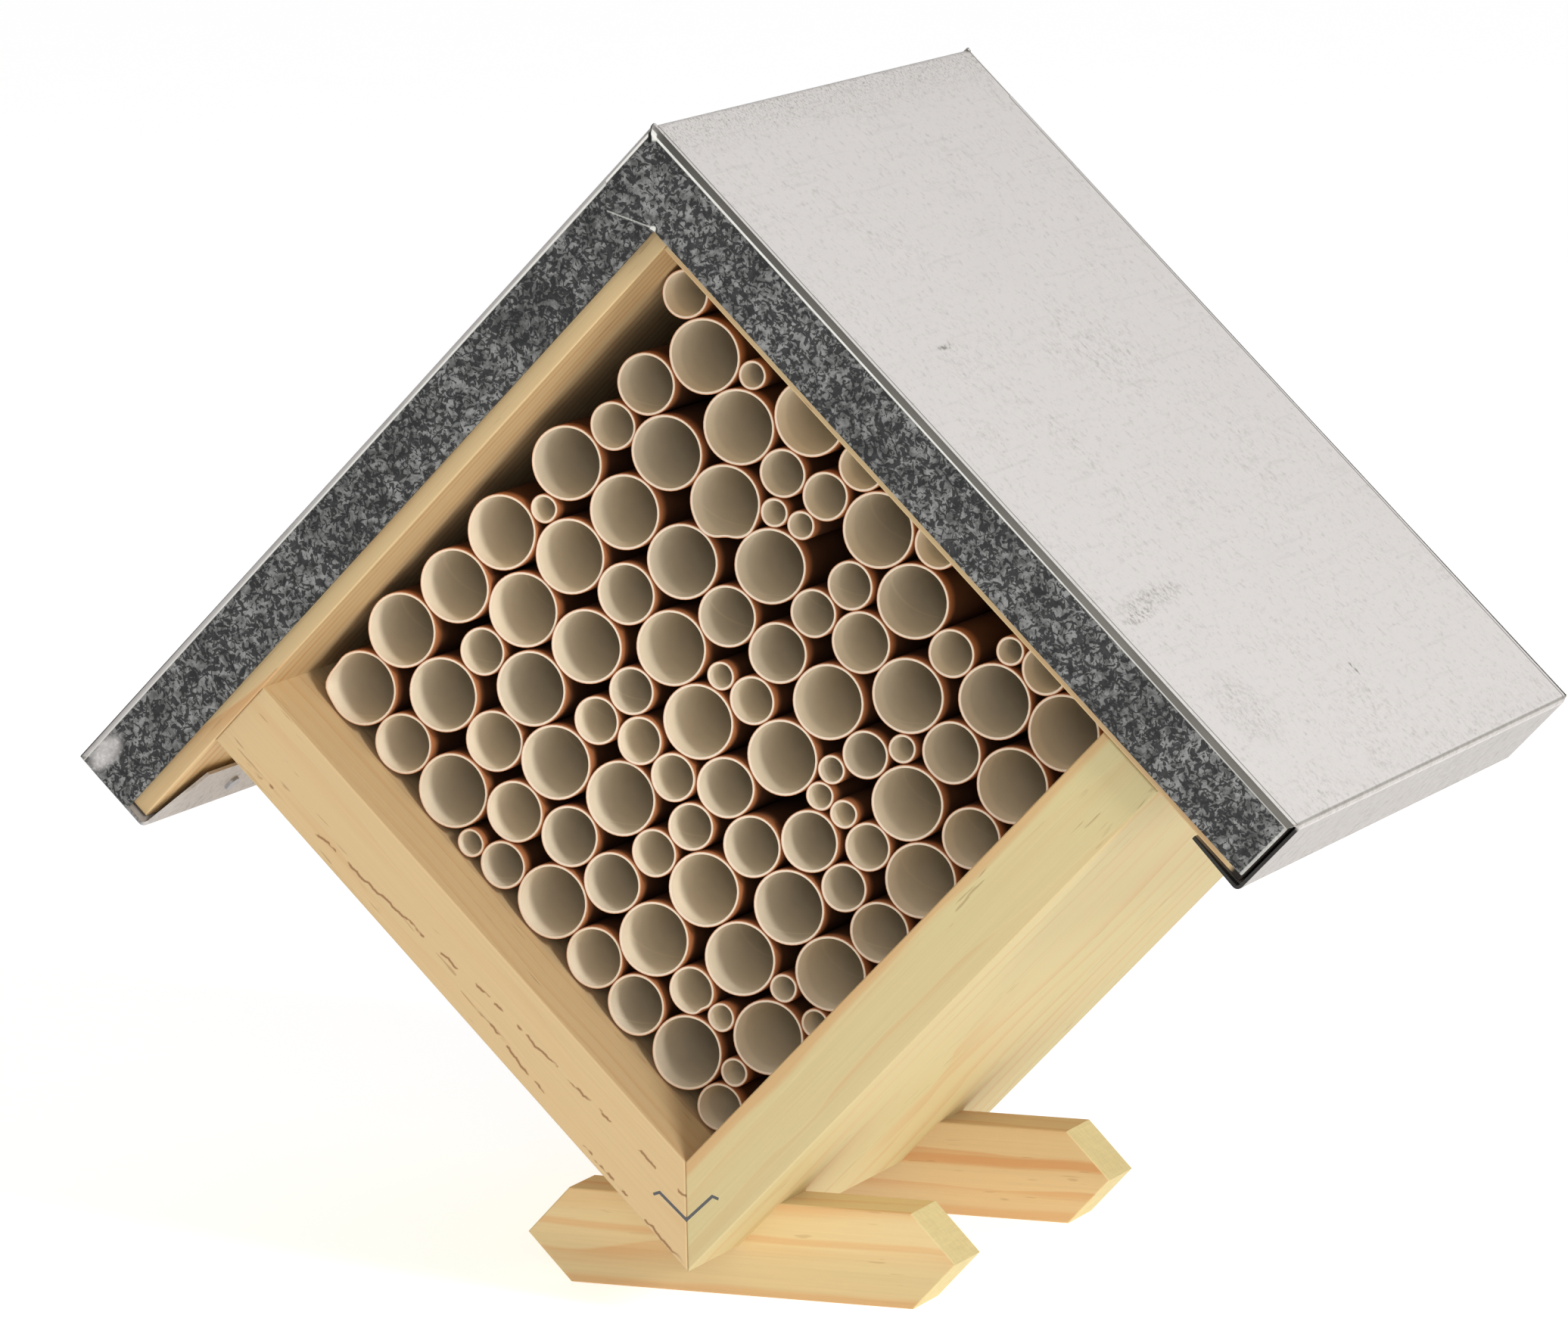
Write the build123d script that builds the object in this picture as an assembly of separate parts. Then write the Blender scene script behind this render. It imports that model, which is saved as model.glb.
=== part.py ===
from build123d import *

import os
from itertools import combinations, cycle
from math import hypot, sqrt

# Insect hotel: a square box of pine boards stood on its corner. Its two upper sides are the boards of a
# ridge roof under one folded zinc-coated sheet, it is filled with paper nesting tubes, and two notched
# feet carry it. Millimetres, with X to the right, Y to the back and Z up. The origin lies on the ground
# under the middle of the box.

# Boards
box_inner = 94.0  # inside of the square box, between opposite boards
box_depth = 110.0  # front to back, the same for walls and roof boards
wall_thickness = 11.5
roof_board_thickness = 12.0
eave_overhang = 17.0  # roof board past the outer face of the wall under it
panel_thickness = 6.0
panel_setback = 1.0  # back panel from the rear ends of the boards
edge_ease = 0.3  # rounding of the sawn ends

# Roof sheet
sheet_thickness = 0.5
sheet_gap = 0.4  # on top of the roof boards and at their ends
lip_gap = 0.9  # between the folded lip and the underside of the roof board
bend_radius = 1.0  # inside of every fold
fascia_standoff = 3.3  # outside of the fascia before the boards, and of the rear one behind them
fascia_width = 10.7
fascia_end_gap = 0.4  # end of the fascia from the outside of the eave fold
corner_gap = 3.0  # the eave fold starts this far behind the outside of the fascia
lip_width = 10.0  # strip folded back under the roof board
lip_cut = 8.0  # the lip's corners are cut off at a slant over this depth
ridge_slit = 0.4  # between the two halves of a fascia
lap_width = 7.2  # tab of the right half of a fascia before the left half
lap_rise = 2.3  # rise of the tab's lower edge
lap_gap = 0.1

# Feet
foot_length = 69.0
foot_height = 14.3
foot_depth = 9.3
foot_point = 6.9  # length of each pointed end
ground_gap = 7.6  # bottom corner of the box above the ground
front_foot_setback = 18.2  # front foot behind the front ends of the boards
rear_foot_setback = 23.0  # rear foot before the rear ends of the boards

# Nesting tubes
tube_bores = {"X": 10.0, "L": 8.0, "M": 6.0, "S": 3.1}
tube_nodes = {"X": "tubes_10mm", "L": "tubes_8mm", "M": "tubes_6mm", "S": "tubes_3mm"}
tube_wall = 0.4
tube_gap = 0.55  # between neighbours, and between a tube and a board
tube_recess = 12.0  # tubes behind the front ends of the boards
tube_slack = 0.3  # tubes before the back panel
tube_settling = 3.0  # a tube is laid at most this much lower than the one before it
tube_order = (
    "MXSXLSSMXSXLXLXXXLXMMMLLSLMLLMXXXLSXXMSXSLLLMMXXX"
    "XMSXXXXMMXXXMSLLMMXSLXXMLXXXMXXXXSSSMMXXMMXXMLXSM"
)

# Nails and screws
nail_shank, nail_length = 1.8, 30.0
nail_head, nail_head_thickness = 4.2, 0.8
nail_inset = 20.0  # nails in the roof boards from the boards' front and rear ends
pin_shank, pin_length = 1.2, 20.0
pin_head, pin_head_thickness = 2.2, 0.6
pin_spacing = 52.0  # between the two pins that hold the back panel from one roof board
lip_nail_shank, lip_nail_length = 1.2, 8.0
lip_nail_head, lip_nail_head_thickness = 2.6, 0.5
lip_nail_inset = 20.0  # lip nails from the boards' front and rear ends
screw_shank, screw_length = 3.0, 14.0
screw_head, screw_head_height = 6.0, 2.0
screw_sinking = 0.4  # screw head above the underside of the foot

# Corner nails across the mitre: thin strips bent to a V, with curled ends
v_nail_spread = 8.4
v_nail_rise = 3.8
v_nail_curl = 1.0
v_nail_curl_drop = 0.35
v_nail_thickness = 0.45
v_nail_depth = 8.0
v_nail_height = 7.7  # tip of the V above the bottom corner of the box

# Places that follow from the sizes
front = -box_depth / 2
back = box_depth / 2
board_top = sheet_thickness + sheet_gap
board_underside = board_top + roof_board_thickness
box_outer = box_inner + wall_thickness
board_end = board_underside + box_outer + eave_overhang
sheet_end = board_end + sheet_gap + sheet_thickness
lip_bottom = board_underside + lip_gap + sheet_thickness
ridge_z = ground_gap + (box_outer + board_underside) * sqrt(2)
bend_outside = bend_radius + sheet_thickness
fascia_front = front - fascia_standoff
panel_back = back - panel_setback
panel_front = panel_back - panel_thickness
foot_fronts = (front + front_foot_setback, back - rear_foot_setback - foot_depth)
notch_depth = foot_height - ground_gap


def slope_point(down, under, side=1):
    """(x, z) of the point `down` the slope from the ridge and `under` the outside of the sheet."""
    return side * (down - under) / sqrt(2), ridge_z - (down + under) / sqrt(2)


def box_point(u, v):
    """(x, z) inside the box, u from the lower left wall's face and v from the lower right wall's."""
    return (u - v) / sqrt(2), ground_gap + wall_thickness * sqrt(2) + (u + v) / sqrt(2)


def prism(face, start, end):
    """Solid with the section `face` (x, z), from y = start back to y = end."""
    return extrude(Plane.XZ.offset(-start) * face, amount=start - end)


def polygon(points):
    return make_face(Polyline(*points, close=True))


def eased(board):
    """The board with the edges of its front and rear ends slightly rounded."""
    ends = [edge for edge in board.edges() if abs(edge.tangent_at(0.5).Y) < 0.5]
    return fillet(ends, edge_ease)


def save(shape, node):
    """Write one sub-part: a solid, or a list of separate solids."""
    if isinstance(shape, list):
        shape = Compound(children=shape)
    export_step(shape, f"parts/{node}.step")


# Nails, pins and screws


def nail(place, shank, length, head, head_thickness):
    """Nail along the plane's normal: the top of its head on the plane, and its shank behind it."""
    solid = Pos(0, 0, -head_thickness / 2) * Cylinder(head / 2, head_thickness)
    solid += Pos(0, 0, -head_thickness - length / 2) * Cylinder(shank / 2, length)
    return place * solid


def on_slope(down, under, y, side, outwards=1):
    """Plane at a point of the roof, square to the slope, facing away from the box or towards it."""
    x, z = slope_point(down, under, side)
    return Plane(origin=(x, y, z), z_dir=(side * outwards, 0, outwards))


def board_nails(down, side):
    """Two nails from the top of a roof board, with their heads flush in the wood."""
    return [
        nail(on_slope(down, board_top, y, side), nail_shank, nail_length, nail_head, nail_head_thickness)
        for y in (front + nail_inset, back - nail_inset)
    ]


def panel_pins():
    """Two pins from each roof board into the edge of the back panel."""
    middle = board_underside + box_inner / 2
    y = (panel_front + panel_back) / 2
    return [
        nail(on_slope(middle + shift, board_top, y, side), pin_shank, pin_length, pin_head, pin_head_thickness)
        for side in (-1, 1)
        for shift in (-pin_spacing / 2, pin_spacing / 2)
    ]


def lip_nails(side):
    """Two nails up through the folded lip into the underside of the roof board."""
    down = sheet_end - lip_width / 2
    under = lip_bottom + lip_nail_head_thickness
    return [
        nail(
            on_slope(down, under, y, side, -1),
            lip_nail_shank,
            lip_nail_length,
            lip_nail_head,
            lip_nail_head_thickness,
        )
        for y in (front + lip_nail_inset, back - lip_nail_inset)
    ]


def foot_screws():
    """A countersunk screw up through the middle of each foot into the mitre of the walls."""
    cone = Pos(0, 0, screw_head_height / 2) * Cone(screw_head / 2, screw_shank / 2, screw_head_height)
    shank = Pos(0, 0, screw_head_height + screw_length / 2) * Cylinder(screw_shank / 2, screw_length)
    return [Pos(0, y + foot_depth / 2, screw_sinking) * (cone + shank) for y in foot_fronts]


def v_nail(start, end):
    """V-shaped corner nail between two depths."""
    tip = ground_gap + v_nail_height
    side = v_nail_spread / 2
    right = [(side, tip + v_nail_rise), (side + v_nail_curl, tip + v_nail_rise - v_nail_curl_drop)]
    left = [(-x, z) for x, z in reversed(right)]
    outline = Polyline(*left, (0, tip), *right)
    return prism(trace(outline, v_nail_thickness), start, end)


# Boards


def wall(side):
    """Lower wall, mitred at the bottom corner and butted against the underside of its roof board."""
    outline = [
        (0, ground_gap),
        slope_point(board_underside + box_outer, board_underside, side),
        slope_point(board_underside + box_inner, board_underside, side),
        (0, ground_gap + wall_thickness * sqrt(2)),
    ]
    return eased(prism(polygon(outline), front, back))


def roof_board(side):
    """Roof board. The left one runs through at the ridge, the right one butts against its underside."""
    start = board_top if side < 0 else board_underside
    outline = [
        slope_point(start, board_top, side),
        slope_point(board_end, board_top, side),
        slope_point(board_end, board_underside, side),
        slope_point(start, board_underside, side),
    ]
    return eased(prism(polygon(outline), front, back))


def back_panel():
    """Square panel that closes the box between its four boards."""
    corners = [(0, 0), (box_inner, 0), (box_inner, box_inner), (0, box_inner)]
    return prism(polygon([box_point(u, v) for u, v in corners]), panel_front, panel_back)


def foot(start):
    """Bar with pointed ends, notched for the bottom corner of the box."""
    tip = foot_length / 2
    right = [(tip - foot_point, 0), (tip, foot_height / 2), (tip - foot_point, foot_height)]
    right.append((notch_depth, foot_height))
    left = [(-x, z) for x, z in reversed(right)]
    bar = prism(polygon(right + [(0, ground_gap)] + left), start, start + foot_depth)
    outside = [
        edge
        for edge in bar.edges()
        if abs(edge.tangent_at(0.5).Y) < 0.5 and abs(edge.center().X) > notch_depth or edge.center().Z == 0
    ]
    return fillet(outside, edge_ease)


# Roof sheet, folded from one piece


def sheet_section():
    """Section of the sheet across the ridge: two slopes, the eave folds and the lips under the boards."""
    lip_end = sheet_end - lip_width
    inner_end = sheet_end - sheet_thickness
    lip_top = lip_bottom - sheet_thickness
    outer = [(lip_end, lip_bottom), (sheet_end, lip_bottom), (sheet_end, 0), (0, 0)]
    inner = [(lip_end, lip_bottom), (lip_end, lip_top), (inner_end, lip_top), (inner_end, sheet_thickness)]
    inner.append((sheet_thickness, sheet_thickness))
    outside = folded(outer, [0, bend_outside, bend_outside, bend_outside])
    return outside - folded(inner, [0, 0, bend_radius, bend_radius, bend_radius])


def folded(half, radii):
    """Face with a symmetric outline: `half` runs up the left slope to the ridge, with a radius per corner."""
    left = [slope_point(down, under, -1) for down, under in half]
    right = [(-x, z) for x, z in reversed(left[:-1])]
    return make_face(FilletPolyline(*left, *right, radius=radii + radii[-2::-1], close=True))


def hem(side):
    """Front edge of one slope, bent down to its half of the fascia."""
    face = fascia_front if side > 0 else fascia_front + sheet_thickness + lap_gap
    top_end = fascia_front + corner_gap
    outline = [
        (face, -fascia_width),
        (face, 0),
        (top_end, 0),
        (top_end, -sheet_thickness),
        (face + sheet_thickness, -sheet_thickness),
        (face + sheet_thickness, -fascia_width),
    ]
    section = make_face(FilletPolyline(*outline, radius=[0, bend_outside, 0, 0, bend_radius, 0], close=True))
    down_the_slope = Plane(origin=(0, 0, ridge_z), x_dir=(0, 1, 0), z_dir=(1, 0, -1))
    strip = extrude(down_the_slope * section, amount=sheet_end - fascia_end_gap)
    half = split(strip, bisect_by=Plane.YZ)
    return half if side > 0 else mirror(half, about=Plane.YZ)


def lap():
    """Tab of the right half of the fascia that lies before the left half."""
    inner_corner = ridge_z - fascia_width * sqrt(2)
    top = ridge_z - (bend_outside + lap_gap) * sqrt(2)
    outline = [
        (ridge_slit, inner_corner - ridge_slit),
        (0, inner_corner),
        (-lap_width, inner_corner + lap_rise),
        (-lap_width, top - lap_width),
        (0, top),
        (ridge_slit, top - ridge_slit),
    ]
    return prism(polygon(outline), fascia_front, fascia_front + sheet_thickness)


def front_fascia():
    """Both halves of the front fascia, parted at the ridge by a slit through the bend."""
    slit = Box(ridge_slit, bend_outside + sheet_thickness, 2 * fascia_width * sqrt(2))
    slit = Pos(0, fascia_front + (bend_outside + sheet_thickness) / 2, ridge_z) * slit
    return hem(-1) + hem(1) - slit + lap()


def lip_corners():
    """What is cut off the four corners of the lips."""
    start = fascia_front + corner_gap
    lip_end = sheet_end - lip_width
    corner = polygon([(lip_end, start), (sheet_end - bend_outside, start), (lip_end, start + lip_cut)])
    along_slope = Plane(origin=(0, 0, ridge_z), x_dir=(1, 0, -1), z_dir=(1, 0, 1))
    cut = extrude(along_slope.offset(-lip_bottom) * corner, amount=sheet_thickness)
    pair = [cut, mirror(cut, about=Plane.YZ)]
    return pair + [mirror(shape, about=Plane.XZ) for shape in pair]


def roof_sheet():
    start = fascia_front + corner_gap
    fascia = front_fascia()
    sheet = prism(sheet_section(), start, -start) - lip_corners()
    return sheet + fascia + Rot(0, 0, 180) * fascia


# Nesting tubes, laid one after another into the corner of the box


def seats(laid, radius):
    """Places (u, v) where a tube touches two boards, a board and a tube, or two tubes."""
    low = radius + tube_gap
    high = box_inner - low
    yield low, low
    for u, v, other in laid:
        reach = radius + other + tube_gap
        for board in (low, high):
            if abs(u - board) <= reach:
                rise = sqrt(reach**2 - (u - board) ** 2)
                yield board, v + rise
                yield board, v - rise
            if abs(v - board) <= reach:
                rise = sqrt(reach**2 - (v - board) ** 2)
                yield u + rise, board
                yield u - rise, board
    for (u, v, one), (u_next, v_next, other) in combinations(laid, 2):
        span = hypot(u_next - u, v_next - v)
        reach = radius + one + tube_gap
        reach_next = radius + other + tube_gap
        along = (span**2 + reach**2 - reach_next**2) / (2 * span)
        if span <= reach + reach_next and abs(along) < reach:
            across = sqrt(reach**2 - along**2)
            u_way, v_way = (u_next - u) / span, (v_next - v) / span
            for side in (-across, across):
                yield u + along * u_way - side * v_way, v + along * v_way + side * u_way


def lowest_seat(laid, radius):
    """The lowest free seat that isn't too far below the tube laid last, or None."""
    tolerance = 1e-6
    low = radius + tube_gap - tolerance
    high = box_inner - low
    level = sum(laid[-1][:2]) - tube_settling * sqrt(2) if laid else 0
    widest = max(tube_bores.values()) + 2 * tube_wall + tube_gap
    near = [tube for tube in laid if tube[0] + tube[1] > level - widest * sqrt(2)]
    free = [
        (u, v)
        for u, v in seats(near, radius)
        if low <= u <= high
        and low <= v <= high
        and u + v >= level
        and all(hypot(u - x, v - y) >= radius + other + tube_gap - tolerance for x, y, other in near)
    ]
    return min(free, key=sum, default=None)


def lay_tubes():
    """(u, v, outer radius, kind) of each tube, until no more of the largest kind goes in."""
    largest = max(tube_bores, key=tube_bores.get)
    laid, kinds = [], []
    for kind in cycle(tube_order):
        radius = tube_bores[kind] / 2 + tube_wall
        seat = lowest_seat(laid, radius)
        if seat:
            laid.append((*seat, radius))
            kinds.append(kind)
        elif kind == largest:
            return list(zip(laid, kinds))


def tube(u, v, radius):
    ring = Circle(radius) - Circle(radius - tube_wall)
    return prism(Pos(*box_point(u, v)) * ring, front + tube_recess, panel_front - tube_slack)


# Assembly: each fastener fills the hole it makes in the boards

os.makedirs("parts", exist_ok=True)
board_end_nails = {side: board_nails(board_underside + box_inner + wall_thickness / 2, side) for side in (-1, 1)}
ridge_nails = board_nails(board_top + roof_board_thickness / 2, -1)
pins = panel_pins()
hem_nails = {side: lip_nails(side) for side in (-1, 1)}
screws = foot_screws()
v_nails = [v_nail(front, front + v_nail_depth), v_nail(back - v_nail_depth, back)]
inside_boards = board_end_nails[-1] + board_end_nails[1] + ridge_nails + pins
inside_boards += hem_nails[-1] + hem_nails[1] + screws + v_nails

save(wall(-1) - inside_boards, "lower_left_wall")
save(wall(1) - inside_boards, "lower_right_wall")
save(roof_board(-1) - inside_boards, "left_roof_board")
save(roof_board(1) - inside_boards, "right_roof_board")
save(back_panel() - pins, "back_panel")
save(foot(foot_fronts[0]) - screws, "front_foot")
save(foot(foot_fronts[1]) - screws, "rear_foot")
save(roof_sheet() - hem_nails[-1] - hem_nails[1], "roof_sheet")
save(board_end_nails[-1], "left_wall_nails")
save(board_end_nails[1], "right_wall_nails")
save(ridge_nails, "ridge_nails")
save(pins, "back_panel_pins")
save(hem_nails[-1], "left_lip_nails")
save(hem_nails[1], "right_lip_nails")
save(screws, "foot_screws")
save(v_nails[0], "front_v_nail")
save(v_nails[1], "rear_v_nail")
tubes = lay_tubes()
for name, node in tube_nodes.items():
    save([tube(*place) for place, kind in tubes if kind == name], node)
print(len(tubes), "tubes, of each kind:", {name: sum(kind == name for _, kind in tubes) for name in tube_nodes})
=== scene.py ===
"""Looks of the insect hotel: pine boards, a folded zinc-coated roof sheet, and paper nesting tubes."""
import math
import random
from contextlib import contextmanager

import bmesh
import bpy
from mathutils import Matrix, Vector


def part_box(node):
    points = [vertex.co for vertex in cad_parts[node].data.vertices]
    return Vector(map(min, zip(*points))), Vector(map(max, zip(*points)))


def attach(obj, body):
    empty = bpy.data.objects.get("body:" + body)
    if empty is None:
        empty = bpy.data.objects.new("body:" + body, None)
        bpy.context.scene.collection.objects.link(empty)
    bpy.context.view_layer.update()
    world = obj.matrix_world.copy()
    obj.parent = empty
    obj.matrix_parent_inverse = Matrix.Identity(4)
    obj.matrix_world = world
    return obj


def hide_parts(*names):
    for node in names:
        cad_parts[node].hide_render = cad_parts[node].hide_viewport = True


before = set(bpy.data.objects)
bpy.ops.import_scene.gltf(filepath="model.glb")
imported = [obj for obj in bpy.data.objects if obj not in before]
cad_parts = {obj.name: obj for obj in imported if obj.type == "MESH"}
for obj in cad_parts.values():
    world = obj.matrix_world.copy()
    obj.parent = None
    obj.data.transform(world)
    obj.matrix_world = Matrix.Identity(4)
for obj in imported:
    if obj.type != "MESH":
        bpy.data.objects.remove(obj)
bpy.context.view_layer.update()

bl_info = {
    "name": "Insect hotel",
    "version": (1, 0, 0),
    "blender": (4, 5, 0),
    "location": "View3D > Sidebar > Insect hotel",
    "description": "Models and finishes a small insect hotel of pine, zinc sheet and paper tubes",
    "category": "Object",
}

MM = 0.001
TINY = 0.01 * MM  # how near two points of a mesh count as one
NEAR = 5 * TINY  # how near a point counts as on a line or plane
SLOPE = math.radians(45)  # of every board and of the roof
HALF = math.sqrt(0.5)  # sine and cosine of the slope
DOWN = Vector((HALF, 0, -HALF))  # down the right half of the roof
UNDER = Vector((-HALF, 0, -HALF))  # into the right half of the roof, square to it
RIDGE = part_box("roof_sheet")[1].z
SHEET_FRONT = -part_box("roof_sheet")[0].y
TUBE_NODES = {"tubes_10mm": 10.0, "tubes_8mm": 8.0, "tubes_6mm": 6.0, "tubes_3mm": 3.1}  # bores in mm
CAD_PAPER = 0.4 * MM  # wall of those tubes


def slope_point(down, under):
    """Point on the right half of the roof, `down` the slope and `under` the outside of the sheet."""
    return Vector((0, 0, RIDGE)) + DOWN * down + UNDER * under


def down_and_under(point):
    """The reverse of slope_point, for a point on either side of the ridge."""
    fall = RIDGE - point.z
    return (fall + abs(point.x)) * HALF, (fall - abs(point.x)) * HALF


# Sizes and colours


def length(name, description, default):
    return bpy.props.FloatProperty(
        name=name, description=description, default=default, unit="LENGTH", precision=5
    )


def colour(name, description, default):
    return bpy.props.FloatVectorProperty(
        name=name, description=description, default=default, subtype="COLOR", size=3, min=0, max=1
    )


class SheetSizes(bpy.types.PropertyGroup):
    """Sizes of the folded roof sheet."""

    thickness: length("Thickness", "Thickness of the sheet", 0.5 * MM)
    fold: length("Fold", "Radius of every fold, on the outside", 1.0 * MM)
    fascia: length("Fascia", "Width of the fascia", 10.7 * MM)
    lip: length("Lip", "Width of the strip folded back under the roof board", 10 * MM)
    lip_under: length("Lip under", "Underside of the lip below the slope's outside", 14.3 * MM)
    lip_cut: length("Lip cut", "How far the lip's corner is cut back at a tight corner", 8 * MM)
    lip_trim: length("Lip trim", "How far the lip's corner is cut back at an open corner", 1 * MM)
    corner: length("Corner", "Start of an open corner's eave fold behind the fascia", 3.4 * MM)
    tight_corner: length("Tight corner", "The same at the corner across from an open one", 1.9 * MM)
    slope: length("Slope", "From the ridge to the outside of the eave fold", 136.3 * MM)
    end_gap: length("End gap", "End of the fascia before the outside of the eave fold", 0.8 * MM)
    lap: length("Lap", "Width of the tab that laps over the other half of the fascia", 7.2 * MM)
    lap_rise: length("Lap rise", "Rise of the tab's lower edge", 2.3 * MM)
    lap_step: length("Lap step", "How far one half of a fascia lies behind the other", 0.6 * MM)


class TubeSizes(bpy.types.PropertyGroup):
    """Sizes of the nesting tubes."""

    wall: length("Wall", "Thickness of the paper", 0.45 * MM)
    swell: length("Swell", "Growth in radius that makes the tubes touch", 0.25 * MM)
    rim: length("Rim", "Rounding of the cut ends", 0.1 * MM)
    unevenness: length("Unevenness", "How far the front ends of the tubes differ", 0.35 * MM)
    wave: length("Wave", "Waviness of each cut end", 0.1 * MM)
    sides: bpy.props.IntProperty(name="Sides", description="Sides of a tube", default=44, min=12, max=96)


class Colours(bpy.types.PropertyGroup):
    """Colours of the finishes."""

    pine: colour("Pine", "Pale early wood", (0.665, 0.470, 0.248))
    pine_late: colour("Pine, late wood", "Orange bands of the growth rings", (0.585, 0.295, 0.115))
    pine_green: colour("Pine, sap", "Greenish tint of cut ends and sapwood", (0.61, 0.53, 0.272))
    resin: colour("Resin", "Short brown resin streaks", (0.24, 0.10, 0.035))
    zinc: colour("Zinc", "Slopes of the roof sheet", (0.83, 0.79, 0.765))
    # Also the painted shade and dark reflection along the folds
    zinc_smudge_and_shade: colour("Zinc smudge", "Stains and scratches on the slopes", (0.30, 0.28, 0.25))
    # The fascia's grey with its light crystals, painted darker than the slopes as a dark reflection
    spangle_and_dark_reflection: colour("Spangle", "Light crystals of the zinc on the fascia", (0.185, 0.185, 0.18))
    spangle_dark: colour("Dark spangle", "Dark crystals of the zinc on the fascia", (0.022, 0.023, 0.023))
    # Painted highlight: the bright line along the fascia's fold, on the tab's edge and corner, at the
    # fascia's open end and the apex glint
    painted_highlight: colour("Worn edge", "Bright line along the fascia's fold", (0.90, 0.89, 0.83))
    paper_rim: colour("Paper rim", "Cut ends of the tubes", (0.86, 0.72, 0.56))
    paper_outside: colour("Paper outside", "Brown outside of the tubes", (0.46, 0.17, 0.06))
    paper_inside: colour("Paper inside", "Beige lining of the tubes", (0.77, 0.67, 0.51))
    steel: colour("Steel", "Nails and screws", (0.25, 0.25, 0.26))


# Shader maths


class Value:
    """An output socket that takes part in Python arithmetic."""

    def __init__(self, finish, socket):
        self.finish = finish
        self.socket = socket

    def maths(self, operation, *others):
        sockets = dict(enumerate([self, *others]))
        return self.finish.node("ShaderNodeMath", {"operation": operation}, sockets)

    def __add__(self, other):
        return self.maths("ADD", other)

    def __radd__(self, other):
        return self.maths("ADD", other)

    def __sub__(self, other):
        return self.maths("SUBTRACT", other)

    def __rsub__(self, other):
        return (self * -1) + other

    def __mul__(self, other):
        return self.maths("MULTIPLY", other)

    def __rmul__(self, other):
        return self.maths("MULTIPLY", other)

    def __truediv__(self, other):
        return self.maths("DIVIDE", other)

    def __pow__(self, other):
        return self.maths("POWER", other)

    def __abs__(self):
        return self.maths("ABSOLUTE")

    def or_more(self, other):
        """The larger of the two."""
        return self.maths("MAXIMUM", other)

    def step(self, low, high):
        """0 below `low`, 1 above `high`, and a smooth rise between; it falls where high is under low."""
        if high < low:
            return 1 - self.step(high, low)
        settings = {"interpolation_type": "SMOOTHSTEP"}
        return self.finish.node("ShaderNodeMapRange", settings, {0: self, 1: low, 2: high, 3: 0.0, 4: 1.0})


class Finish:
    """A material that is built up from nodes. `tint` is its colour, for a finish that adds to it."""

    def __init__(self, name):
        self.material = bpy.data.materials.new(name)
        self.material.use_nodes = True
        self.tree = self.material.node_tree
        self.shader = self.tree.nodes["Principled BSDF"]
        self.tint = None

    def node(self, kind, settings, sockets, output=0):
        """Adds a node: its settings first, then the values or links of its sockets."""
        node = self.tree.nodes.new(kind)
        for name, value in settings.items():
            setattr(node, name, value)
        for name, value in sockets.items():
            self.feed(node.inputs[name], value)
        return Value(self, node.outputs[output])

    def feed(self, socket, value):
        if isinstance(value, Value):
            self.tree.links.new(value.socket, socket)
        else:
            socket.default_value = (*value, 1.0) if socket.type == "RGBA" and len(value) == 3 else value

    def set(self, **values):
        """Sets the shader's own sockets, spaces in their names written as underscores."""
        for name, value in values.items():
            self.feed(self.shader.inputs[name.replace("_", " ")], value)

    def place(self, turn=0.0, stretch=(1, 1, 1), shift=(0, 0, 0)):
        """Object coordinates in millimetres, turned about Y, stretched and shifted."""
        coordinates = self.node("ShaderNodeTexCoord", {}, {}, "Object")
        to_mm = (1 / MM, 1 / MM, 1 / MM)
        sockets = {"Vector": coordinates, "Rotation": (0, turn, 0), "Scale": to_mm}
        turned = self.node("ShaderNodeMapping", {}, sockets)
        return self.node("ShaderNodeMapping", {}, {"Vector": turned, "Scale": stretch, "Location": shift})

    def axes(self, vector):
        return [self.node("ShaderNodeSeparateXYZ", {}, {0: vector}, axis) for axis in "XYZ"]

    def noise(self, vector, size=1.0, detail=2.0, roughness=0.5, distortion=0.0):
        """Noise from 0 to 1 with features of about `size`."""
        sockets = {"Vector": vector, "Scale": 1 / size, "Detail": detail, "Roughness": roughness}
        return self.node("ShaderNodeTexNoise", {}, {**sockets, "Distortion": distortion})

    def grain(self, turn, stretch, shift, **settings):
        """Noise drawn out along the grain: the smaller the stretch, the longer its features."""
        return self.noise(self.place(turn, stretch, shift), **settings)

    def mix(self, first, second, factor):
        """Colour between two, by a factor."""
        return self.node("ShaderNodeMix", {"data_type": "RGBA"}, {0: factor, 6: first, 7: second}, 2)

    def shade(self, tint, factor):
        """The colour made lighter or darker by a factor."""
        return self.node("ShaderNodeVectorMath", {"operation": "SCALE"}, {0: tint, 3: factor})

    def bump(self, height, distance, strength=1.0):
        sockets = {"Height": height, "Distance": distance, "Strength": strength}
        return self.node("ShaderNodeBump", {}, sockets)


# Finishes


# Rows of resin streaks on the lower left wall: height across the grain, slope, and start and end along it,
# all in mm
RESIN_ROWS = ((14.3, 0.07, -104, -6), (5.4, -0.042, -56, -6))


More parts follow.
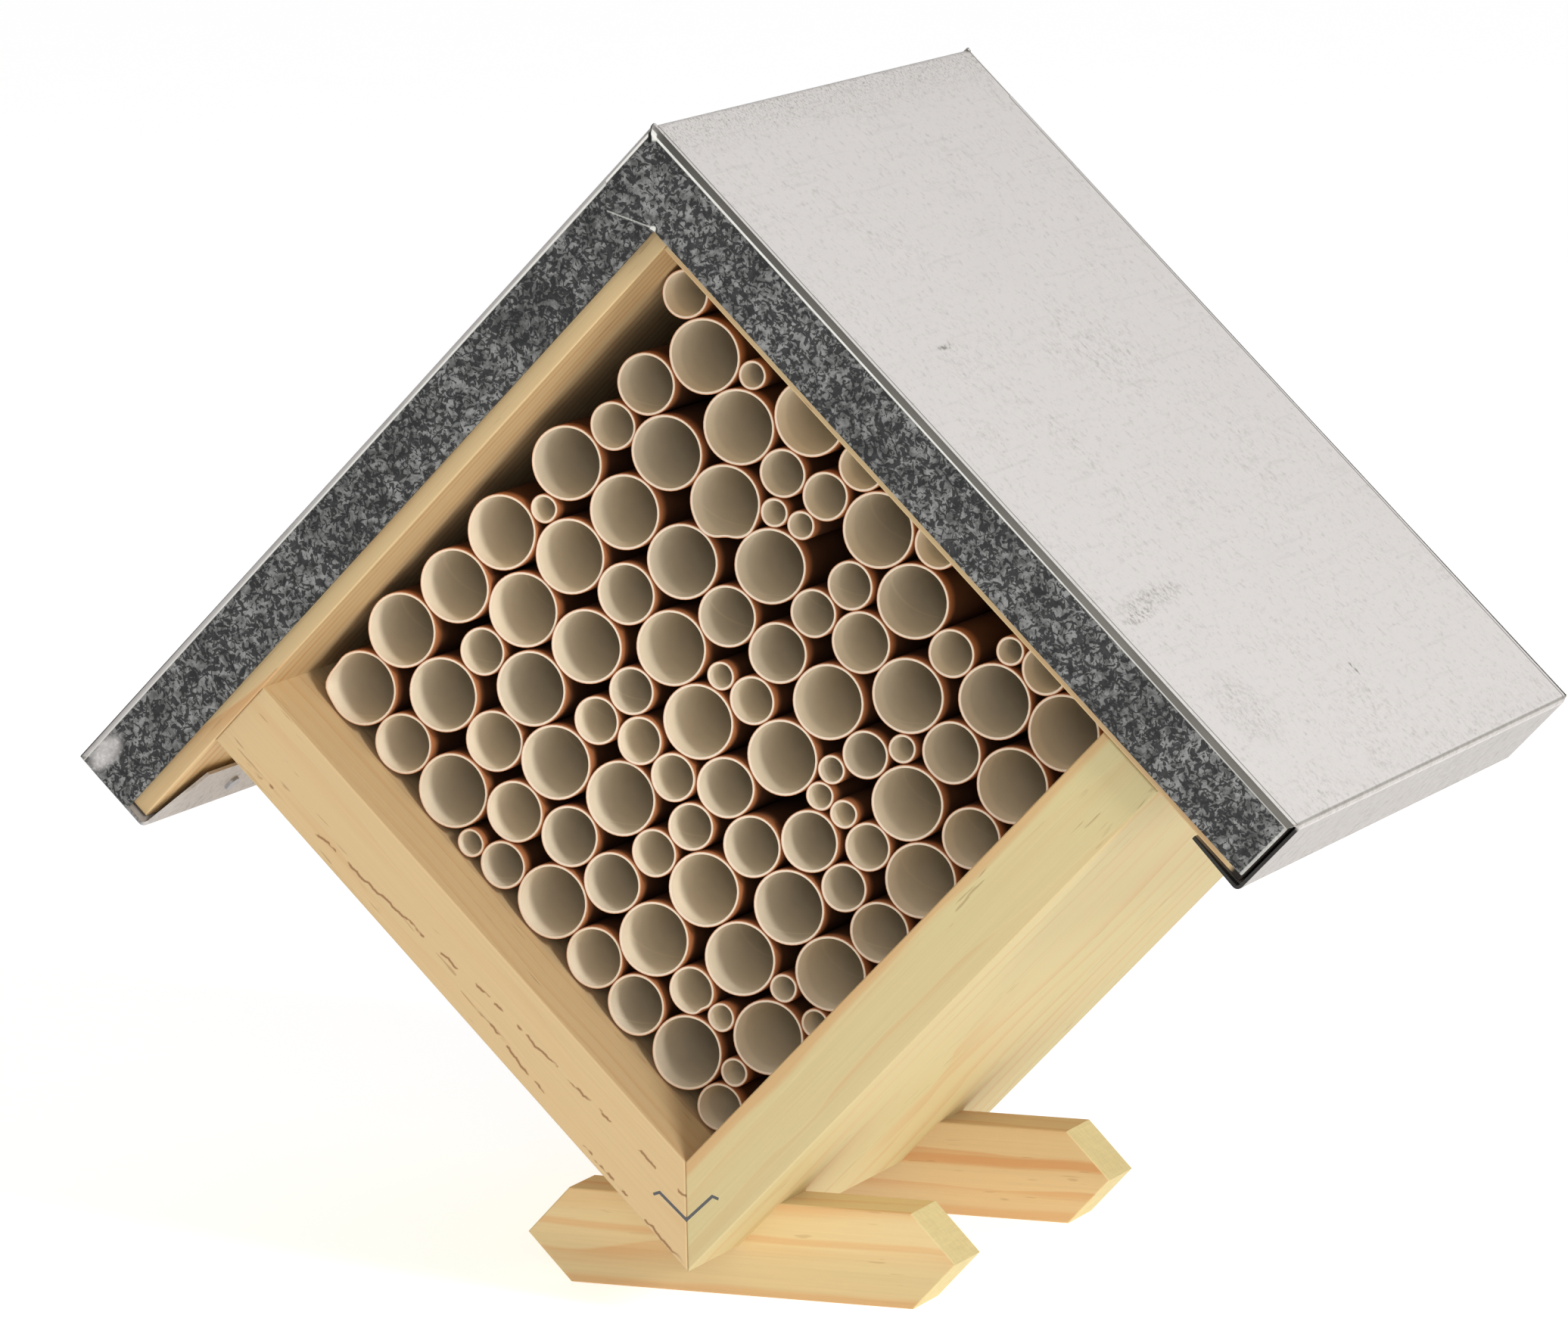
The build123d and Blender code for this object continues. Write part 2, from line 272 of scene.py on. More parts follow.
def pine(name, turn, seed, pith, rings=3.2, late=0.5, resin=0.4, green=0.15, bands=(), resin_rows=()):
    """Planed pine with its grain along X once turned about Y, in millimetres.

    `pith` is the heart of the tree, as its depth and height across the grain, and `rings` their spacing.
    `late`, `resin` and `green` say how strong the late wood, the resin and the sapwood's tint are.
    `bands` are broad rings: a height, a half width and a strength. `resin_rows` are as in RESIN_ROWS.
    """
    colours = bpy.context.scene.hotel_colours
    finish = Finish(name)
    along, depth, rise = finish.axes(finish.place(turn))
    drift = finish.grain(turn, (0.012, 0.03, 0.03), (seed, seed * 3, 0), detail=1.0)
    wander = finish.grain(turn, (0.022, 0.01, 0.01), (seed * 2, 7, 3), detail=2.0) - 0.5
    across = ((depth - pith[0]) ** 2 + (rise - pith[1]) ** 2) ** 0.5
    band = (across / rings + drift * 3.0 + wander * 1.2).maths("FRACT")
    late_wood = band.step(0.45, 0.95) * band.step(1.0, 0.95)
    fibre = finish.grain(turn, (0.03, 2.6, 2.6), (seed * 5, 1, 2), detail=3.0, roughness=0.6)
    streak = finish.grain(turn, (0.015, 0.3, 0.3), (seed * 7, 4, 3), detail=2.0)
    speck = finish.grain(turn, (0.16, 1.9, 1.9), (seed * 11, 2, 5), detail=1.5)
    patch = finish.grain(turn, (0.03, 0.12, 0.12), (seed * 13, 5, 1), detail=1.0)
    late_mask = late_wood * streak.step(0.3, 0.62) * late
    for height, half_width, strength in bands:
        broad = abs(rise + wander * 5.0 - height).step(half_width, half_width * 0.3)
        late_mask = late_mask.or_more(broad * (0.6 + streak * 0.6) * strength)
    resin_mask = speck.step(0.67, 0.72) * patch.step(0.5, 0.6) * resin
    jitter = finish.grain(turn, (0.4, 0.1, 0.1), (seed * 17, 2, 5), detail=3.0) - 0.5
    dash = finish.grain(turn, (0.24, 0.3, 0.3), (seed * 19, 1, 4), detail=2.0)
    for height, slope, start, end in resin_rows:
        line = abs(rise - along * slope + wander * 3.0 + jitter * 1.5 - height).step(0.28, 0.08)
        reach = along.step(start, start + 4) * along.step(end, end - 4)
        resin_mask = resin_mask.or_more(line * dash.step(0.46, 0.5) * reach * 0.8)
    tint = finish.mix(colours.pine, colours.pine_green, (0.55 + patch * 0.9) * green)
    tint = finish.mix(tint, colours.pine_late, late_mask)
    tint = finish.shade(tint, 0.91 + fibre * 0.14)
    tint = finish.mix(tint, colours.resin, resin_mask)
    finish.set(
        Base_Color=tint,
        Roughness=0.55 + fibre * 0.15,
        Specular_IOR_Level=0.3,
        Normal=finish.bump(fibre * 0.5 - late_wood * 0.3, 0.12 * MM, 0.6),
    )
    finish.tint = tint
    return finish


def end_shaded_pine(name, turn, seed, pith, rings, late):
    """Pine with its grain down the slope, painted nearly black with shadow where it ends in the eave fold.
    """
    colours = bpy.context.scene.hotel_colours
    eave = bpy.context.scene.hotel_sheet.slope / MM
    finish = pine(name, turn, seed, pith, rings=rings, late=late)
    across, _, rise = finish.axes(finish.place())
    down = (RIDGE / MM - rise + abs(across)) * HALF
    # Painted shadow: nearly black where the board ends in the gap behind the fascia
    end_shadow = down.step(eave - 3.5, eave - 2.3)
    finish.set(Base_Color=finish.mix(finish.tint, finish.shade(colours.resin, 0.03), end_shadow))
    return finish


def foot_pine(name, seed, pith, green, pale, bands):
    """Pine with its grain along X; the cut faces of the pointed ends are paler, greenish and rough.

    `pale` is painted light: how much lighter the foot gets towards its top.
    """
    colours = bpy.context.scene.hotel_colours
    finish = pine(name, 0.0, seed, pith, rings=4.0, late=0.55, resin=0.25, green=green, bands=bands)
    facing, _, _ = finish.axes(finish.node("ShaderNodeTexCoord", {}, {}, "Normal"))
    end = abs(facing).step(0.3, 0.6)
    rough = finish.grain(0.0, (0.5, 1.4, 0.45), (seed, 3, 1), detail=3.0, roughness=0.65)
    saw = finish.grain(0.0, (2.5, 0.25, 2.5), (seed, 1, 4), detail=2.0)
    cut = finish.shade(finish.mix(colours.pine_green, colours.pine, 0.1), 0.86 + rough * 0.3 + saw * 0.2)
    cut = finish.mix(cut, colours.pine_late, rough.step(0.62, 0.75) * 0.25)
    _, _, rise = finish.axes(finish.place())
    # Painted light: lighter towards the top, and darker there for a pale below zero
    side = finish.shade(finish.tint, 1.0 + rise.step(4.0, 9.3) * pale)
    finish.set(Base_Color=finish.mix(side, cut, end * 0.9))
    return finish


# Marks on the slopes: how far down, how far back, their reach both ways, all in mm, and their strength
SMUDGES = (
    (96, -40, 2.4, 16, 0.5),
    (98, -48, 1.2, 7, 0.7),
    (117, -42, 8, 11, 0.22),
    (118, 0, 1.6, 0.6, 1.0),
    (48, -33, 0.7, 3.5, 0.9),
)


class SheetPlace:
    """Where a point of the roof sheet lies: lengths in millimetres, and masks from 0 to 1."""

    def __init__(self, finish):
        sizes = bpy.context.scene.hotel_sheet
        self.vector = finish.place()
        self.across, self.depth, self.rise = finish.axes(self.vector)
        self.fall = RIDGE / MM - self.rise
        self.under = (self.fall - abs(self.across)) * HALF
        self.down = (self.fall + abs(self.across)) * HALF
        side = self.across * self.depth
        tab = sizes.lap / MM
        self.under_tab = side.step(-1, 1) * abs(self.across).step(tab - 0.1, tab + 0.1)
        self.tab_side = side.step(0, 1)
        self.open_corner = side.step(1, -1)
        past = abs(self.depth) - SHEET_FRONT / MM + self.under_tab * (sizes.lap_step / MM)
        self.hem = past.step(-1.5, -1.2)
        self.round_fold = self.under + past  # from -1 to 1 over the fold between slope and fascia
        self.fascia = self.round_fold.step(0.95, 1.15) * self.hem


def fascia_crystals_and_reflection(finish, place, grit, cloud):
    """Colour and leaves of the fascias: a marbled grey with dark leaves, painted darker than the slopes as
    a dark reflection, with a paler patch near one end and painted highlights on the tab and at the open
    end.
    """
    colours = bpy.context.scene.hotel_colours
    sizes = bpy.context.scene.hotel_sheet
    sheet_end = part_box("roof_sheet")[1].x / HALF / MM
    marble = finish.noise(place.vector, 1.5, detail=3.0, roughness=0.55, distortion=0.5)
    leaves = None
    for turn, seed in ((0.5, 1), (1.6, 2), (2.6, 3)):
        leaf = finish.grain(turn, (0.8, 1.0, 1.35), (seed * 9, 0, seed), detail=2.0, distortion=0.8)
        leaves = leaf if leaves is None else leaves.or_more(leaf)
    light = (marble * 0.9 + grit * 0.25 + cloud * 0.5).step(0.62, 1.06)
    tint = finish.mix(finish.shade(colours.spangle_and_dark_reflection, 0.48), finish.shade(colours.spangle_and_dark_reflection, 1.7), light)
    tint = finish.mix(tint, colours.spangle_dark, leaves.step(0.53, 0.60) * 0.88)

    # A paler patch near the eave end of the fascia that lies under the tab
    bright_patch = (((place.down - 132) / 4.5) ** 2 + ((place.under - 2.6) / 2.4) ** 2).step(1.0, 0.0)
    tint = finish.mix(tint, colours.zinc, bright_patch * place.under_tab * (0.35 + marble * 0.5))
    # Painted highlights: a bright line along the tab's lower edge and a glint at its corner
    tab = sizes.lap / MM
    apex_low = sizes.fascia / MM / HALF
    low = place.fall - apex_low + abs(place.across) * (sizes.lap_rise / sizes.lap)
    along_tab = abs(abs(place.across) - (tab / 2 + 0.1)).step(tab / 2, tab / 2 - 0.3)
    tab_edge_highlight = abs(low + 0.3).step(0.16, 0.08) * along_tab * place.tab_side
    tab_corner_glint = (place.across ** 2 + (low + 0.1) ** 2).step(0.35, 0.1)
    tint = finish.mix(tint, colours.painted_highlight, (tab_edge_highlight * 0.4).or_more(tab_corner_glint * 0.8))
    # Painted highlight along the fascia's end at an open corner
    end = abs(place.down - sheet_end + 0.55).step(0.32, 0.12) * place.open_corner
    return finish.mix(tint, colours.painted_highlight, end * 0.5), leaves


def zinc_slopes(finish, place, dust, grit, cloud):
    """Colour of the slopes and eaves: pale, with stains and scratches, and painted shade along the eave
    fold.
    """
    colours = bpy.context.scene.hotel_colours
    sheet_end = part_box("roof_sheet")[1].x / HALF / MM
    streak = finish.grain(SLOPE, (0.07, 0.9, 0.9), (3, 1, 2), detail=3.0, roughness=0.65)
    brushed = finish.grain(SLOPE, (0.8, 0.05, 0.8), (5, 2, 1), detail=3.0, roughness=0.6)
    rubbed = finish.grain(SLOPE, (0.35, 1.3, 1.3), (7, 3, 2), detail=3.0, roughness=0.7)
    smudge = cloud.step(0.46, 0.72) * dust.step(0.46, 0.68) * 0.34 + streak.step(0.54, 0.72) * 0.24
    smudge = smudge + brushed.step(0.56, 0.72) * 0.09 + rubbed.step(0.56, 0.72) * 0.16
    for low, back, low_reach, back_reach, strength in SMUDGES:
        reach = ((place.down - low) / low_reach) ** 2 + ((place.depth - back) / back_reach) ** 2
        mark = reach.step(1.0, 0.0) * rubbed.step(0.42, 0.62) * strength
        smudge = smudge + mark * place.across.step(-1, 1)
    by_eave = place.down.step(126, 137) * dust.step(0.45, 0.7) * 0.25
    by_ridge = place.down.step(10, 0) * grit.step(0.48, 0.66) * 0.6
    # Painted shade along the eave fold, which takes out its highlight and darkens the fold line
    to_fold = sheet_end - place.down - place.under
    fold = abs(to_fold + 0.5).step(0.95, 0.5) * (0.25 + dust * 0.45)
    fold = fold + abs(to_fold + 0.1).step(0.45, 0.15) * (0.2 + cloud * 0.4)
    tint = finish.mix(colours.zinc, colours.zinc_smudge_and_shade, smudge + (by_eave + by_ridge))
    tint = finish.mix(tint, colours.zinc_smudge_and_shade, fold)
    return finish.shade(tint, 0.95 + cloud * 0.08 + dust * 0.03)


def zinc():
    """Zinc-coated sheet: pale and smudged on the slopes, with dark leaf-like crystals on the fascias, whose
    grey is painted darker than the slopes as a dark reflection, and painted highlights and shade along the
    folds.
    """
    colours = bpy.context.scene.hotel_colours
    sizes = bpy.context.scene.hotel_sheet
    finish = Finish("zinc_sheet")
    place = SheetPlace(finish)
    down, under, round_fold, hem = place.down, place.under, place.round_fold, place.hem
    cloud = finish.noise(place.vector, 16.0, detail=4.0, roughness=0.6)
    dust = finish.noise(place.vector, 1.2, detail=4.0, roughness=0.75)
    grit = finish.noise(place.vector, 0.45, detail=2.0, roughness=0.7)
    slopes = zinc_slopes(finish, place, dust, grit, cloud)
    crystals, leaves = fascia_crystals_and_reflection(finish, place, grit, cloud)

    # The fold between slope and fascia: a dark hairline, a band of painted dark reflection and a painted
    # highlight along its edge, narrower down the slope
    hairline = round_fold.step(-1.95, -1.85) * round_fold.step(-1.55, -1.65) * under.step(0.4, 0.2)
    tint = finish.mix(slopes, finish.shade(colours.zinc_smudge_and_shade, 0.6), hairline * 0.8)
    band_shade = (0.35 + cloud * 0.4) * (0.65 + down.step(0, 90) * 0.35)
    band = (round_fold - down * 0.002).step(-1.0, -0.85) * hem * (0.3 + place.across.step(-2, 2) * 0.7)
    tint = finish.mix(tint, finish.shade(colours.zinc_smudge_and_shade, band_shade), band)
    # The fascias' colour, painted darker than the slopes as a dark reflection
    tint = finish.mix(tint, crystals, place.fascia)
    # Painted highlight along the fascia's side of the fold
    edge = (round_fold - down * 0.0018).step(0.55, 0.7) * round_fold.step(1.1, 0.95) * hem
    edge = edge * (0.55 + dust * 0.6) * (1 - down.step(60, 140) * 0.45)
    tint = finish.mix(tint, colours.painted_highlight, edge)

    # The apex: a painted glint on the right of a dark slit, as seen from each end
    facing = place.across * (0 - place.depth).step(-1, 1)
    glint = facing.step(0.1, 0.25) * facing.step(1.0, 0.8) * place.fall.step(2.6, 2.2)
    tint = finish.mix(tint, colours.painted_highlight, glint * round_fold.step(0.0, 0.3) * hem * 0.85)
    slit = abs(place.across + 0.15).step(0.3, 0.16) * place.fall.step(3.0, 2.5)
    tint = finish.mix(tint, finish.shade(colours.spangle_dark, 0.6), slit * hem)

    # The eaves and lips get painted shade, and nearly black painted shadow where they end at an open corner
    eave = under.step(0.7, 1.4) * (1 - hem)
    eave_end = (SHEET_FRONT - sizes.corner) / MM
    lip_under = sizes.lip_under / MM
    eave_end_shadow = under.step(1.0, 1.6) * abs(place.depth).step(eave_end - 0.3, eave_end - 0.1)
    lip_end_shadow = under.step(lip_under - 1.1, lip_under - 0.7)
    lip_end_shadow = lip_end_shadow * abs(place.depth).step(eave_end - 1.6, eave_end - 1.2)
    corner_shadow = eave_end_shadow.or_more(lip_end_shadow) * (1 - hem) * place.open_corner
    tint = finish.shade(tint, (1 - eave * 0.4) * (1 - corner_shadow * 0.9))
    finish.set(
        Base_Color=tint,
        Metallic=0.30 + place.fascia * 0.15,
        Roughness=0.45 + dust * 0.18,
        Specular_IOR_Level=0.15,
        Normal=finish.bump(cloud * 2.5 + leaves * place.fascia * 0.4, 0.12 * MM, 0.5),
    )
    return finish


def paper():
    """Wound paper: cream cut ends, brown outside with painted shade deeper in between the tubes, beige
    lining painted lighter near the mouth, with the seam of the strip.
    """
    colours = bpy.context.scene.hotel_colours
    finish = Finish("tube_paper")
    lining = finish.node("ShaderNodeAttribute", {"attribute_name": "lining"}, {}, "Fac")
    tone = finish.node("ShaderNodeAttribute", {"attribute_name": "tone"}, {}, "Fac")
    depth = finish.node("ShaderNodeAttribute", {"attribute_name": "depth"}, {}, "Fac")
    turn, lengthwise, _ = finish.axes(finish.node("ShaderNodeUVMap", {"uv_map": "winding"}, {}))
    place = finish.place()
    mottle = finish.noise(place, 2.2, detail=3.0)
    fuzz = finish.noise(place, 0.3, detail=2.0, roughness=0.7)
    seam = (turn + lengthwise * 2.0 + tone * 0.7).maths("FRACT")
    seam_line = seam.step(0.0, 0.012) * seam.step(0.035, 0.015)
    # Painted light: the lining is lighter within a few mm of the mouth
    mouth_light = depth.step(4.2, 2.4)
    inside = finish.shade(colours.paper_inside, 0.86 + tone * 0.16 + mottle * 0.1 + mouth_light * 0.14)
    inside = finish.mix(inside, finish.shade(colours.paper_inside, 1.18), seam_line * 0.5)
    # Painted shade: the outside darkens deeper in, between the tubes
    gap_shade = 0.22 + depth.step(3.0, 0.3) * 0.8
    outside = finish.shade(colours.paper_outside, (0.8 + tone * 0.3 + mottle * 0.2) * gap_shade)
    wall = finish.mix(outside, inside, lining.step(0.45, 0.55))
    rim = depth.step(0.5, 0.25)
    edge = finish.shade(colours.paper_rim, 0.9 + fuzz * 0.2)
    edge = finish.mix(edge, colours.paper_outside, lining.step(0.42, 0.12) * 0.95)
    finish.set(
        Base_Color=finish.mix(wall, edge, rim),
        Roughness=0.85,
        Specular_IOR_Level=0.2,
        Normal=finish.bump(fuzz + mottle * 0.5, 0.04 * MM, 0.5),
    )
    return finish


def steel(name, brightness):
    """Drawn wire, a little uneven."""
    colours = bpy.context.scene.hotel_colours
    finish = Finish(name)
    grain = finish.noise(finish.place(), 0.5, detail=3.0)
    finish.set(
        Base_Color=finish.shade(colours.steel, brightness * (0.8 + grain * 0.4)),
        Metallic=0.8,
        Roughness=0.35 + grain * 0.2,
        Normal=finish.bump(grain, 0.02 * MM, 0.4),
    )
    return finish


def coat(piece, finish):
    """Gives a piece or a CAD node its finish."""
    piece.data.materials.clear()
    piece.data.materials.append(finish.material)


# Modelling by operators


def deselect():
    if bpy.context.mode != "OBJECT":
        bpy.ops.object.mode_set(mode="OBJECT")
    bpy.ops.object.select_all(action="DESELECT")


def choose(*pieces):
    """Selects the pieces, the first one active."""
    deselect()
    for piece in pieces:
        piece.select_set(True)
    bpy.context.view_layer.objects.active = pieces[0]


def settle(piece):
    """Puts a piece's place, turn and size into its mesh."""
    choose(piece)
    bpy.ops.object.transform_apply(location=True, rotation=True, scale=True)


@contextmanager
def editing(piece):
    choose(piece)
    bpy.ops.object.mode_set(mode="EDIT")
    bpy.ops.mesh.select_all(action="DESELECT")
    yield
    bpy.ops.object.mode_set(mode="OBJECT")


def pick(kind, test):
    """Selects the vertices or edges of the mesh being edited whose every point passes the test."""
    bpy.ops.mesh.select_mode(type="VERT" if kind == "verts" else "EDGE")
    bpy.ops.mesh.select_all(action="DESELECT")
    mesh = bmesh.from_edit_mesh(bpy.context.object.data)
    found = 0
    for element in getattr(mesh, kind):
        points = [element] if kind == "verts" else element.verts
        if all(test(point.co) for point in points):
            element.select_set(True)
            found += 1
    mesh.select_flush_mode()
    bmesh.update_edit_mesh(bpy.context.object.data)
    if not found:
        raise RuntimeError(f"no {kind} to pick on {bpy.context.object.name}")


def extrude(way):
    bpy.ops.mesh.extrude_region_move(TRANSFORM_OT_translate={"value": way})


def cut(point, normal):
    """Cuts the whole mesh being edited with a plane."""
    bpy.ops.mesh.select_all(action="SELECT")
    bpy.ops.mesh.bisect(plane_co=point, plane_no=normal)


def modify(piece, kind, **settings):
    """Adds a modifier and applies it."""
    choose(piece)
    modifier = piece.modifiers.new(kind.title(), kind)
    for name, value in settings.items():
        setattr(modifier, name, value)
    bpy.ops.object.modifier_apply(modifier=modifier.name)


# Roof sheet


def half_sheet(sizes):
    """Right half of the sheet, with the tab of its front fascia. The left half is the same, turned."""
    end = sizes.slope
    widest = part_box("roof_sheet")[1].x
    deselect()
    bpy.ops.mesh.primitive_plane_add(size=1, location=slope_point(end / 2, 0), rotation=(0, SLOPE, 0))
    sheet = bpy.context.object
    sheet.scale = (end, 2 * SHEET_FRONT, 1)
    settle(sheet)
    front_fold = SHEET_FRONT - sizes.corner
    rear_fold = SHEET_FRONT - sizes.tight_corner

    def near(value, target):
        return abs(value - target) < NEAR

    def at_eave(co):
        return near(down_and_under(co)[0], end)

    def between_corners(co):
        return -front_fold - TINY < co.y < rear_fold + TINY

    def is_fold(edge):
        """True for the fascias' folds along the slope and the eave's fold between the corners."""
        (down_a, under_a), (down_b, under_b) = [down_and_under(vert.co) for vert in edge.verts]
        y_a, y_b = [vert.co.y for vert in edge.verts]
        on_slope = near(under_a, 0) and near(under_b, 0) and near(y_a, y_b)
        hem = on_slope and (near(y_a, -SHEET_FRONT) or near(y_a, SHEET_FRONT - sizes.lap_step))
        on_eave = near(down_a, end) and near(down_b, end) and near(under_a, under_b)
        return hem or (on_eave and all(between_corners(vert.co) for vert in edge.verts))

    with editing(sheet):
        for fold in (-rear_fold, -front_fold, front_fold, rear_fold):
            cut((0, fold, 0), (0, 1, 0))

        # A fascia under each end of the slope, mitred at the ridge
        for side in (-1, 1):
            pick("edges", lambda co: near(co.y, side * SHEET_FRONT))
            extrude(UNDER * sizes.fascia)
            pick("verts", lambda co: co.x < -TINY)
            bpy.ops.transform.translate(value=DOWN * sizes.fascia)

        # The eave, and the lip that comes back under the roof board, with its corners cut back
        pick("edges", lambda co: at_eave(co) and between_corners(co))
        extrude(UNDER * sizes.lip_under)
        extrude(-DOWN * sizes.lip)
        for side, trim in ((-1, sizes.lip_trim), (1, sizes.lip_cut)):

            def lip_corner(co):
                return near(down_and_under(co)[0], end - sizes.lip) and co.y * side > front_fold - TINY

            pick("verts", lip_corner)
            bpy.ops.transform.translate(value=(0, -side * trim, 0))

        # The fascias end short of the eave, and the rear one lies behind the other half's tab
        pick("verts", lambda co: at_eave(co) and near(abs(co.y), SHEET_FRONT))
        bpy.ops.transform.translate(value=-DOWN * sizes.end_gap)
        pick("verts", lambda co: near(co.y, SHEET_FRONT))
        bpy.ops.transform.translate(value=(0, -sizes.lap_step, 0))

        # Round folds, with what their bevel pushes past the eave pulled in again
        bpy.ops.mesh.select_mode(type="EDGE")
        bpy.ops.mesh.select_all(action="DESELECT")
        mesh = bmesh.from_edit_mesh(sheet.data)
        for edge in mesh.edges:
            edge.select_set(is_fold(edge))
        bmesh.update_edit_mesh(sheet.data)
        bpy.ops.mesh.bevel(offset=sizes.fold, segments=5, affect="EDGES")
        pick("verts", lambda co: co.x > widest + TINY)
        bpy.ops.transform.translate(value=-DOWN * (end - widest / HALF))

        # The front fascia's tab over the other half, its lower edge rising to its end
        pick("edges", lambda co: near(co.x, 0) and near(co.y, -SHEET_FRONT))
        extrude((-sizes.lap, 0, 0))
        tab_end = -sizes.lap + TINY
        apex_low = RIDGE - sizes.fascia / HALF
        pick("verts", lambda co: co.x < tab_end and co.z > RIDGE - sizes.fascia)
        bpy.ops.transform.translate(value=(0, 0, -sizes.lap))
        pick("verts", lambda co: co.x < tab_end and co.z < apex_low + sizes.fold)
        bpy.ops.transform.translate(value=(0, 0, sizes.lap_rise))
    return sheet


def fold_sheet():
    """The whole roof sheet, as one piece of its real thickness."""
    sizes = bpy.context.scene.hotel_sheet
    right = half_sheet(sizes)
    choose(right)
    bpy.ops.object.duplicate()
    left = bpy.context.object
    left.rotation_euler = (0, 0, math.pi)
    settle(left)
    choose(right, left)
    bpy.ops.object.join()
    sheet = bpy.context.object
    sheet.name = "folded_roof_sheet"
    with editing(sheet):
        bpy.ops.mesh.select_all(action="SELECT")
        bpy.ops.mesh.remove_doubles(threshold=TINY)
        inner = SHEET_FRONT - sizes.tight_corner + NEAR
        pick("edges", lambda co: abs(co.x) < NEAR and co.z > RIDGE - NEAR and abs(co.y) < inner)
        bpy.ops.mesh.bevel(offset=sizes.fold, segments=4, affect="EDGES")
    modify(sheet, "SOLIDIFY", thickness=sizes.thickness, offset=-1, use_even_offset=True)
    bpy.ops.object.shade_smooth_by_angle(angle=math.radians(35))
    coat(sheet, zinc())
    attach(sheet, "root")
    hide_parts("roof_sheet")


# Nesting tubes


# Rims that were crushed: the tube's place (x, z) in mm, the side of the rim as an angle in degrees, and
# how far it is pushed in as a part of the radius (out, where it is below zero)
DENTS = (
    (3.1, 118.8, -90, 0.10),
    (3.1, 118.8, -50, -0.05),
    (3.1, 118.8, -130, -0.04),
    (-4.0, 46.6, -60, 0.12),
    (-56.5, 88.8, 180, -0.09),
    (-56.5, 88.8, 140, 0.06),
)
DENT_WIDTH = 0.28  # radians of the rim
DENT_DEPTH = 2.5  # mm into the tube
RIM_DEPTH = 8.0  # mm over which the unevenness of the cut end dies away
RINGS = (0.5, 1.5, 4.0, 12.0)  # mm from the front end, where a tube gets rings of points


def tube_places(node):
    """Axis (x, z) of each tube of a node, from the lowest up."""
    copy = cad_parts[node].copy()
    copy.data = copy.data.copy()
    copy.parent = None
    bpy.context.collection.objects.link(copy)
    copy.hide_render = copy.hide_viewport = False
    with editing(copy):
        bpy.ops.mesh.select_all(action="SELECT")
        bpy.ops.mesh.remove_doubles(threshold=TINY)
        bpy.ops.mesh.separate(type="LOOSE")
    places = []
    for piece in list(bpy.context.selected_objects):
        xs = [vert.co.x for vert in piece.data.vertices]
        zs = [vert.co.z for vert in piece.data.vertices]
        places.append(((min(xs) + max(xs)) / 2, (min(zs) + max(zs)) / 2))
        bpy.data.objects.remove(piece)
    return sorted(places, key=lambda place: (round(place[1], 4), place[0]))


def model_tube(node, sizes):
    """One tube on the Y axis, with its wall, rounded rims and rings of points near its front end."""
    low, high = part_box(node)
    radius = TUBE_NODES[node] * MM / 2 + CAD_PAPER + sizes.swell
    deselect()
    bpy.ops.mesh.primitive_cylinder_add(
        vertices=sizes.sides,
        radius=radius,
        depth=high.y - low.y,
        end_fill_type="NOTHING",
        location=(0, (low.y + high.y) / 2, 0),
        rotation=(math.pi / 2, 0, 0),
    )
    tube = bpy.context.object
    settle(tube)
    tube.data.uv_layers[0].name = "winding"
    with editing(tube):
        for ring in RINGS:
            cut((0, low.y + ring * MM, 0), (0, 1, 0))
    modify(tube, "SOLIDIFY", thickness=sizes.wall, offset=-1)
    modify(tube, "BEVEL", width=sizes.rim, segments=2, limit_method="ANGLE", angle_limit=math.radians(60))
    return tube


def add_point_values(piece, name, values):
    attribute = piece.data.attributes.new(name, "FLOAT", "POINT")
    attribute.data.foreach_set("value", values)


def dent(place, radius, way, back):
    """How far in the crushed rims push a point, as a part of the radius."""
    pushed = 0.0
    for x, z, dent_way, push in DENTS:
        if math.hypot(x * MM - place[0], z * MM - place[1]) < radius / 2:
            swing = math.remainder(way - math.radians(dent_way), math.tau)
            pushed += push * math.exp(-((swing / DENT_WIDTH) ** 2)) * math.exp(-back / DENT_DEPTH)
    return pushed


